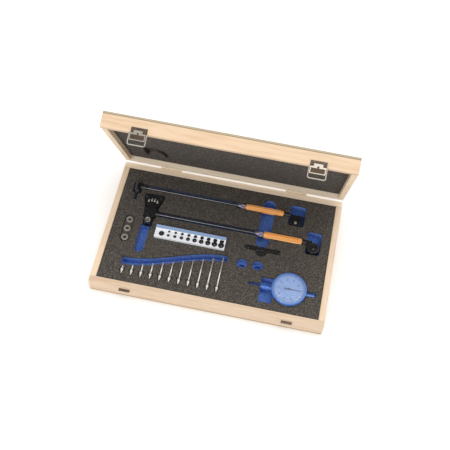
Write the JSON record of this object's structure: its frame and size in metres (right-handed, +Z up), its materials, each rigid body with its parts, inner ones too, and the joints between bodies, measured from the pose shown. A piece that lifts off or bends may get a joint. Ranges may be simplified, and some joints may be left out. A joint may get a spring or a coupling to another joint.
{
  "type": "bore gauge set",
  "caption": "Hinged wooden case with foam-nested bore gauges, dial indicator, measuring bolts, spacers and an anvil tray.",
  "frame": {"origin": "centre of the case's underside", "axes": "+X along the case to the right seen from the latches, +Y from the latches to the hinges, +Z up"},
  "size_m": [0.39, 0.269, 0.2655],
  "materials": {
    "wood": "satin",
    "ply_panel": "matte",
    "foam_blue": "matte",
    "foam_dark": "matte",
    "foam_lid": "matte",
    "dark_steel": "satin",
    "nickel": "polished",
    "screw_steel": "satin",
    "tube_black": "gloss",
    "head_black": "satin",
    "steel": "satin",
    "ferrule_grey": "satin",
    "grip_orange": "satin",
    "tray_white": "satin",
    "anvil_dark": "satin",
    "dial_body": "satin",
    "dial_bezel": "gloss",
    "dial_crystal": "polished",
    "dial_face": "matte",
    "hand_black": "satin"
  },
  "bodies": {
    "case": {"base_front_board": "wood", "base_rear_board": "wood", "base_end_boards": "wood", "base_floor": "ply_panel", "blue_foam": "foam_blue", "dark_foam": "foam_dark", "strike_plates": "dark_steel", "base_hinge_leaves": "nickel", "hinge_pins": "nickel", "base_screws": "screw_steel"},
    "lid": {"lid_front_board": "wood", "lid_rear_board": "wood", "lid_end_boards": "wood", "lid_panel": "ply_panel", "lid_foam": "foam_lid", "lid_hinge_leaves": "nickel", "lid_screws": "screw_steel", "latch_plates": "nickel"},
    "left_lever": {"left_latch_lever": "nickel"},
    "left_bail": {"left_latch_bail": "nickel"},
    "right_lever": {"right_latch_lever": "nickel"},
    "right_bail": {"right_latch_bail": "nickel"},
    "small_gauge": {"small_gauge_tube": "tube_black", "small_gauge_head": "head_black", "small_gauge_ferrule": "ferrule_grey", "small_gauge_grip": "grip_orange", "small_gauge_collet": "tube_black", "small_gauge_clamp": "head_black"},
    "small_contact": {"small_gauge_contact": "steel"},
    "large_gauge": {"large_gauge_tube": "tube_black", "large_gauge_head": "head_black", "large_gauge_ferrule": "ferrule_grey", "large_gauge_grip": "grip_orange", "large_gauge_collet": "tube_black", "large_gauge_clamp": "head_black"},
    "large_bridge": {"large_gauge_bridge": "head_black"},
    "large_contact": {"large_gauge_contact": "steel"},
    "large_push_rod": {"large_gauge_push_rod": "steel"},
    "spanner": {"pin_spanner": "head_black"},
    "anvils": {"anvil_tray": "tray_white", "small_anvils": "anvil_dark"},
    "dial": {"dial_case": "dial_body", "dial_face": "dial_face", "dial_cap": "dial_body"},
    "bezel": {"dial_bezel": "dial_bezel", "dial_crystal": "dial_crystal"},
    "pointer": {"dial_pointer": "hand_black"},
    "spindle": {"dial_spindle": "steel"},
    "washers": {"spacer_washers": "steel"},
    "bolt_01": {"bolt_01": "steel"},
    "bolt_02": {"bolt_02": "steel"},
    "bolt_03": {"bolt_03": "steel"},
    "bolt_04": {"bolt_04": "steel"},
    "bolt_05": {"bolt_05": "steel"},
    "bolt_06": {"bolt_06": "steel"},
    "bolt_07": {"bolt_07": "steel"},
    "bolt_08": {"bolt_08": "steel"},
    "bolt_09": {"bolt_09": "steel"},
    "bolt_10": {"bolt_10": "steel"},
    "bolt_11": {"bolt_11": "steel"}
  },
  "joints": [
    {"name": "lid_hinge", "type": "hinge", "parent": "case", "child": "lid", "pos_m": [0, 0.123, 0.032], "axis": [-1, 0, 0], "range_deg": [-67, 38]},
    {"name": "left_lever_hinge", "type": "hinge", "parent": "lid", "child": "left_lever", "pos_m": [-0.135, 0.02855, 0.26013], "axis": [-1, 0, 0], "range_deg": [0, 170]},
    {"name": "left_bail_hinge", "type": "hinge", "parent": "left_lever", "child": "left_bail", "pos_m": [-0.135, 0.02425, 0.25874], "axis": [-1, 0, 0], "range_deg": [-170, 0]},
    {"name": "right_lever_hinge", "type": "hinge", "parent": "lid", "child": "right_lever", "pos_m": [0.135, 0.02855, 0.26013], "axis": [-1, 0, 0], "range_deg": [0, 170]},
    {"name": "right_bail_hinge", "type": "hinge", "parent": "right_lever", "child": "right_bail", "pos_m": [0.135, 0.02425, 0.25874], "axis": [-1, 0, 0], "range_deg": [-170, 0]},
    {"name": "small_gauge_lift", "type": "slide", "parent": "case", "child": "small_gauge", "axis": [0, 0, 1], "range_m": [0, 0.05]},
    {"name": "small_contact_slide", "type": "slide", "parent": "small_gauge", "child": "small_contact", "axis": [0, 1, 0], "range_m": [-0.0015, 0]},
    {"name": "large_gauge_lift", "type": "slide", "parent": "case", "child": "large_gauge", "axis": [0, 0, 1], "range_m": [0, 0.05]},
    {"name": "large_bridge_slide", "type": "slide", "parent": "large_gauge", "child": "large_bridge", "axis": [0, 1, 0], "range_m": [-0.002, 0]},
    {"name": "large_contact_slide", "type": "slide", "parent": "large_gauge", "child": "large_contact", "axis": [0, 1, 0], "range_m": [-0.0015, 0]},
    {"name": "large_push_rod_slide", "type": "slide", "parent": "large_gauge", "child": "large_push_rod", "axis": [1, 0, 0], "range_m": [0, 0.0015]},
    {"name": "spanner_lift", "type": "slide", "parent": "case", "child": "spanner", "axis": [0, 0, 1], "range_m": [0, 0.04]},
    {"name": "anvil_tray_lift", "type": "slide", "parent": "case", "child": "anvils", "axis": [0, 0, 1], "range_m": [0, 0.05]},
    {"name": "dial_lift", "type": "slide", "parent": "case", "child": "dial", "axis": [0, 0, 1], "range_m": [0, 0.05]},
    {"name": "bezel_turn", "type": "hinge", "parent": "dial", "child": "bezel", "pos_m": [0.1298, -0.0667, 0.034], "axis": [0, 0, 1], "continuous": true},
    {"name": "pointer_turn", "type": "hinge", "parent": "dial", "child": "pointer", "pos_m": [0.1298, -0.0667, 0.034], "axis": [0, 0, -1], "range_deg": [0, 3600]},
    {"name": "spindle_slide", "type": "slide", "parent": "dial", "child": "spindle", "axis": [1, 0, 0], "range_m": [0, 0.01]},
    {"name": "washers_lift", "type": "slide", "parent": "case", "child": "washers", "axis": [0, 0, 1], "range_m": [0, 0.04]},
    {"name": "bolt_01_lift", "type": "slide", "parent": "case", "child": "bolt_01", "axis": [0, 0, 1], "range_m": [0, 0.04]},
    {"name": "bolt_02_lift", "type": "slide", "parent": "case", "child": "bolt_02", "axis": [0, 0, 1], "range_m": [0, 0.04]},
    {"name": "bolt_03_lift", "type": "slide", "parent": "case", "child": "bolt_03", "axis": [0, 0, 1], "range_m": [0, 0.04]},
    {"name": "bolt_04_lift", "type": "slide", "parent": "case", "child": "bolt_04", "axis": [0, 0, 1], "range_m": [0, 0.04]},
    {"name": "bolt_05_lift", "type": "slide", "parent": "case", "child": "bolt_05", "axis": [0, 0, 1], "range_m": [0, 0.04]},
    {"name": "bolt_06_lift", "type": "slide", "parent": "case", "child": "bolt_06", "axis": [0, 0, 1], "range_m": [0, 0.04]},
    {"name": "bolt_07_lift", "type": "slide", "parent": "case", "child": "bolt_07", "axis": [0, 0, 1], "range_m": [0, 0.04]},
    {"name": "bolt_08_lift", "type": "slide", "parent": "case", "child": "bolt_08", "axis": [0, 0, 1], "range_m": [0, 0.04]},
    {"name": "bolt_09_lift", "type": "slide", "parent": "case", "child": "bolt_09", "axis": [0, 0, 1], "range_m": [0, 0.04]},
    {"name": "bolt_10_lift", "type": "slide", "parent": "case", "child": "bolt_10", "axis": [0, 0, 1], "range_m": [0, 0.04]},
    {"name": "bolt_11_lift", "type": "slide", "parent": "case", "child": "bolt_11", "axis": [0, 0, 1], "range_m": [0, 0.04]}
  ],
  "couplings": [
    {"joint": "left_bail_hinge", "follows": "left_lever_hinge", "ratio": -1},
    {"joint": "right_bail_hinge", "follows": "right_lever_hinge", "ratio": -1},
    {"joint": "large_push_rod_slide", "follows": "large_contact_slide", "ratio": -1},
    {"joint": "pointer_turn", "follows": "spindle_slide", "rad_per_m": 6283.2}
  ]
}
